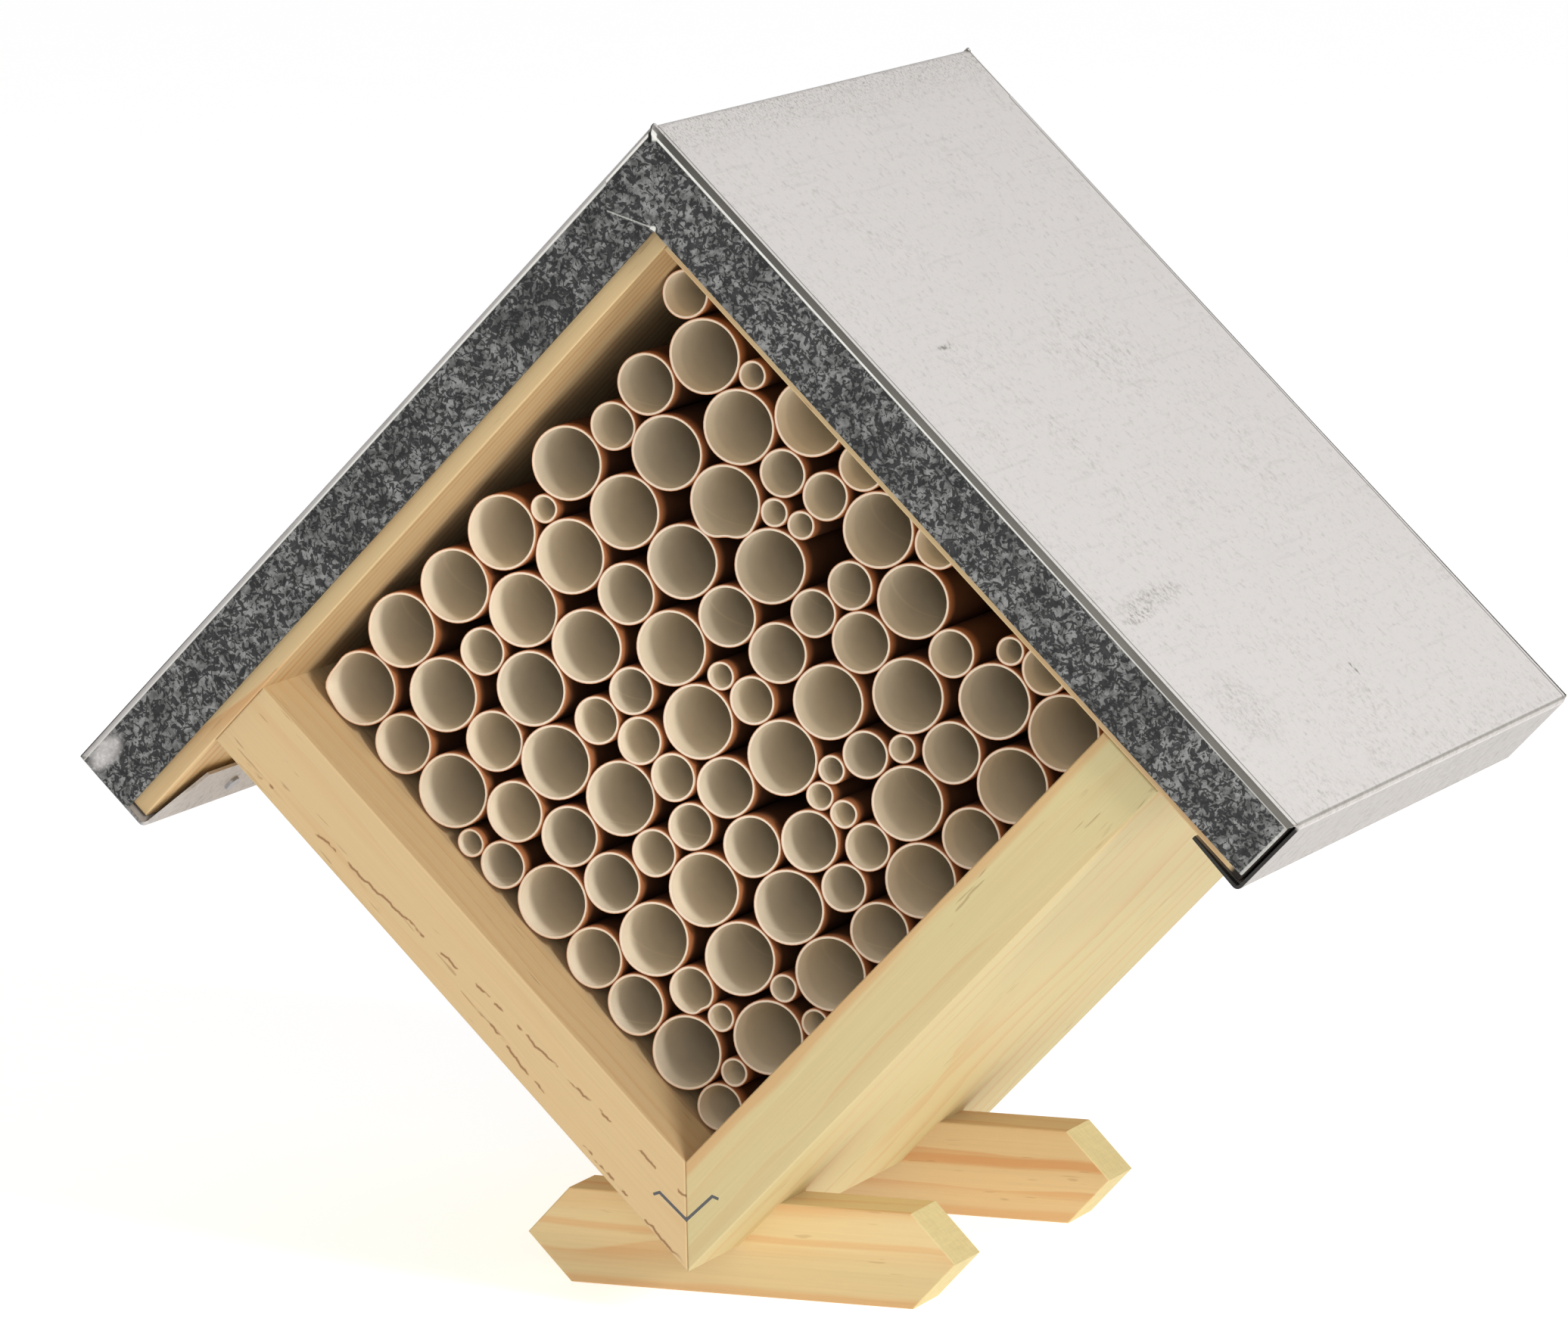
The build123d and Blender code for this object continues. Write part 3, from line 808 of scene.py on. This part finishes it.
def lay_tube(model, place, sizes, chance):
    """A copy of the tube in its place, a little out of round, with its cut end a little uneven."""
    tube = model.copy()
    tube.data = model.data.copy()
    bpy.context.collection.objects.link(tube)
    front = min(vert.co.y for vert in tube.data.vertices)
    outer = max(vert.co.x for vert in tube.data.vertices)
    tube.data.transform(Matrix.Rotation(chance.uniform(0, math.tau), 4, "Y"))
    oval = chance.uniform(0.002, 0.012)
    oval_way = chance.uniform(0, math.pi)
    shift = chance.uniform(0, sizes.unevenness)
    phases = [chance.uniform(0, math.tau) for _ in range(3)]
    tone = chance.random()
    lining, depth = [], []
    for vert in tube.data.vertices:
        co = vert.co
        way = math.atan2(co.z, co.x)
        reach = math.hypot(co.x, co.z)
        inward = (outer - reach) / sizes.wall
        back = (co.y - front) / MM
        lining.append(inward)
        depth.append(back)
        fade = math.exp(-back / RIM_DEPTH)
        grow = 1 + oval * math.cos(2 * (way - oval_way)) - dent(place, outer, way, back)
        wave = sum(math.sin((lobe + 1) * way + phase) for lobe, phase in enumerate(phases)) / 2
        co.x *= grow
        co.z *= grow
        co.y += (shift + (wave + 1.5) * sizes.wave) * fade
    tube.data.transform(Matrix.Translation((place[0], 0, place[1])))
    add_point_values(tube, "lining", lining)
    add_point_values(tube, "depth", depth)
    add_point_values(tube, "tone", [tone] * len(lining))
    return tube


def fill_tubes(node, finish):
    """All the tubes of one bore, as one piece."""
    sizes = bpy.context.scene.hotel_tubes
    chance = random.Random(node)
    model = model_tube(node, sizes)
    tubes = [lay_tube(model, place, sizes, chance) for place in tube_places(node)]
    bpy.data.objects.remove(model)
    choose(*tubes)
    bpy.ops.object.join()
    tubes = bpy.context.object
    tubes.name = node.replace("tubes", "paper_tubes")
    bpy.ops.object.shade_smooth_by_angle(angle=math.radians(40))
    coat(tubes, finish)
    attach(tubes, "root")
    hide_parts(node)


# Operators


class FoldRoofSheet(bpy.types.Operator):
    """Folds the roof sheet from a flat plate"""

    bl_idname = "insect_hotel.fold_roof_sheet"
    bl_label = "Fold roof sheet"

    def execute(self, context):
        fold_sheet()
        return {"FINISHED"}


class FillTubes(bpy.types.Operator):
    """Models the paper tubes and lays them in their places"""

    bl_idname = "insect_hotel.fill_tubes"
    bl_label = "Fill with tubes"

    def execute(self, context):
        finish = paper()
        for node in TUBE_NODES:
            fill_tubes(node, finish)
        return {"FINISHED"}


class FinishBoards(bpy.types.Operator):
    """Gives each board and foot its own pine"""

    bl_idname = "insect_hotel.finish_boards"
    bl_label = "Finish boards"

    def execute(self, context):
        wall_bands = ((16.4, 1.6, 0.6),)
        front_bands = ((9.0, 0.8, 0.5), (0.6, 1.2, 0.55))
        rear_bands = ((8.6, 1.3, 0.9), (0.5, 1.2, 0.5))
        finishes = {
            "lower_left_wall": pine(
                "pine_left_wall", -SLOPE, 1, (30, -30), late=0.3, green=0.1, resin_rows=RESIN_ROWS
            ),
            "lower_right_wall": pine(
                "pine_right_wall", SLOPE, 2, (-10, -45), rings=4.5, late=0.35, green=0.75, bands=wall_bands
            ),
            "left_roof_board": pine("pine_left_roof", SLOPE, 3, (60, 90), rings=2.4, late=0.85),
            "right_roof_board": end_shaded_pine("pine_right_roof", -SLOPE, 4, (40, 90), rings=3.5, late=0.6),
            "back_panel": pine("pine_back_panel", 0.0, 5, (30, 20), rings=6.0, late=0.6),
            "front_foot": foot_pine("pine_front_foot", 6, (-60, -4), 0.42, 0.14, front_bands),
            "rear_foot": foot_pine("pine_rear_foot", 8, (0, -18), 0.12, -0.08, rear_bands),
        }
        for node, finish in finishes.items():
            coat(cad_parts[node], finish)
        return {"FINISHED"}


class FinishFasteners(bpy.types.Operator):
    """Gives the nails and screws their steel"""

    bl_idname = "insect_hotel.finish_fasteners"
    bl_label = "Finish fasteners"

    def execute(self, context):
        bright = steel("bright_steel", 1.6)
        dark = steel("dark_steel", 0.5)
        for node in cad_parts:
            if node.endswith("v_nail"):
                coat(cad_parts[node], dark)
            elif node.endswith(("nails", "pins", "screws")):
                coat(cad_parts[node], bright)
        return {"FINISHED"}


class SetStage(bpy.types.Operator):
    """Sets up the floor, the light and the camera"""

    bl_idname = "insect_hotel.set_stage"
    bl_label = "Set stage"

    def execute(self, context):
        add_floor()
        add_light()
        add_camera()
        return {"FINISHED"}


def add_floor():
    """Pale floor that reaches far behind the hotel, and shines a little so that it stays pale."""
    deselect()
    bpy.ops.mesh.primitive_plane_add(size=30)
    floor = bpy.context.object
    floor.name = "floor"
    finish = Finish("pale_floor")
    speckle = finish.noise(finish.place(), 40.0, detail=2.0)
    finish.set(
        Base_Color=finish.shade((0.95, 0.95, 0.95), 0.99 + speckle * 0.02),
        Roughness=0.9,
        Specular_IOR_Level=0.1,
        Emission_Color=(1.0, 1.0, 1.0, 1.0),
        Emission_Strength=0.55,
    )
    coat(floor, finish)


def add_light():
    """White surroundings and two soft lamps, each with its place, its size and its power."""
    world = bpy.data.worlds.new("studio")
    world.use_nodes = True
    sky = world.node_tree.nodes["Background"]
    sky.inputs["Color"].default_value = (1.0, 1.0, 1.0, 1.0)
    sky.inputs["Strength"].default_value = 0.45
    bpy.context.scene.world = world
    bpy.context.scene.view_settings.view_transform = "Standard"
    target = Vector((0, 0, RIDGE / 2))
    lamps = {
        "key_light": ((1.24, -0.50, 0.60), 0.28, 8.5),
        "front_light": ((0.62, -1.65, 0.5), 0.6, 5.0),
    }
    for name, (place, size, power) in lamps.items():
        lamp = bpy.data.lights.new(name, "AREA")
        lamp.size = size
        lamp.energy = power
        light = bpy.data.objects.new(name, lamp)
        light.location = place
        light.rotation_euler = (target - Vector(place)).to_track_quat("-Z", "Y").to_euler()
        bpy.context.collection.objects.link(light)


def add_camera():
    """Long lens from the front right, a little above, at the real distance."""
    azimuth, elevation, roll = math.radians(24.29), math.radians(9.25), math.radians(1.26)
    camera = bpy.data.cameras.new("camera")
    camera.lens = 207.5
    camera.sensor_width = 36.0
    view = bpy.data.objects.new("camera", camera)
    turn = Matrix.Rotation(azimuth, 3, "Z") @ Matrix.Rotation(math.pi / 2 - elevation, 3, "X")
    view.rotation_euler = (turn @ Matrix.Rotation(-roll, 3, "Z")).to_euler()
    view.location = (0.5410, -1.2151, 0.3044)
    bpy.context.collection.objects.link(view)
    bpy.context.scene.camera = view


STEPS = (FoldRoofSheet, FillTubes, FinishBoards, FinishFasteners, SetStage)


class HotelPanel(bpy.types.Panel):
    """Sizes, colours and steps of the insect hotel"""

    bl_idname = "VIEW3D_PT_insect_hotel"
    bl_label = "Insect hotel"
    bl_space_type = "VIEW_3D"
    bl_region_type = "UI"
    bl_category = "Insect hotel"

    def draw(self, context):
        layout = self.layout
        for group in (context.scene.hotel_sheet, context.scene.hotel_tubes, context.scene.hotel_colours):
            box = layout.box()
            for name in group.bl_rna.properties.keys():
                if name not in {"rna_type", "name"}:
                    box.prop(group, name)
        for step in STEPS:
            layout.operator(step.bl_idname)


GROUPS = {"hotel_sheet": SheetSizes, "hotel_tubes": TubeSizes, "hotel_colours": Colours}


def register():
    for cls in (*GROUPS.values(), *STEPS, HotelPanel):
        bpy.utils.register_class(cls)
    for name, group in GROUPS.items():
        setattr(bpy.types.Scene, name, bpy.props.PointerProperty(type=group))


def unregister():
    for name in GROUPS:
        delattr(bpy.types.Scene, name)
    for cls in reversed((*GROUPS.values(), *STEPS, HotelPanel)):
        bpy.utils.unregister_class(cls)


def main():
    register()
    bpy.ops.insect_hotel.fold_roof_sheet()
    bpy.ops.insect_hotel.fill_tubes()
    bpy.ops.insect_hotel.finish_boards()
    bpy.ops.insect_hotel.finish_fasteners()
    bpy.ops.insect_hotel.set_stage()


if __name__ == "__main__":
    main()
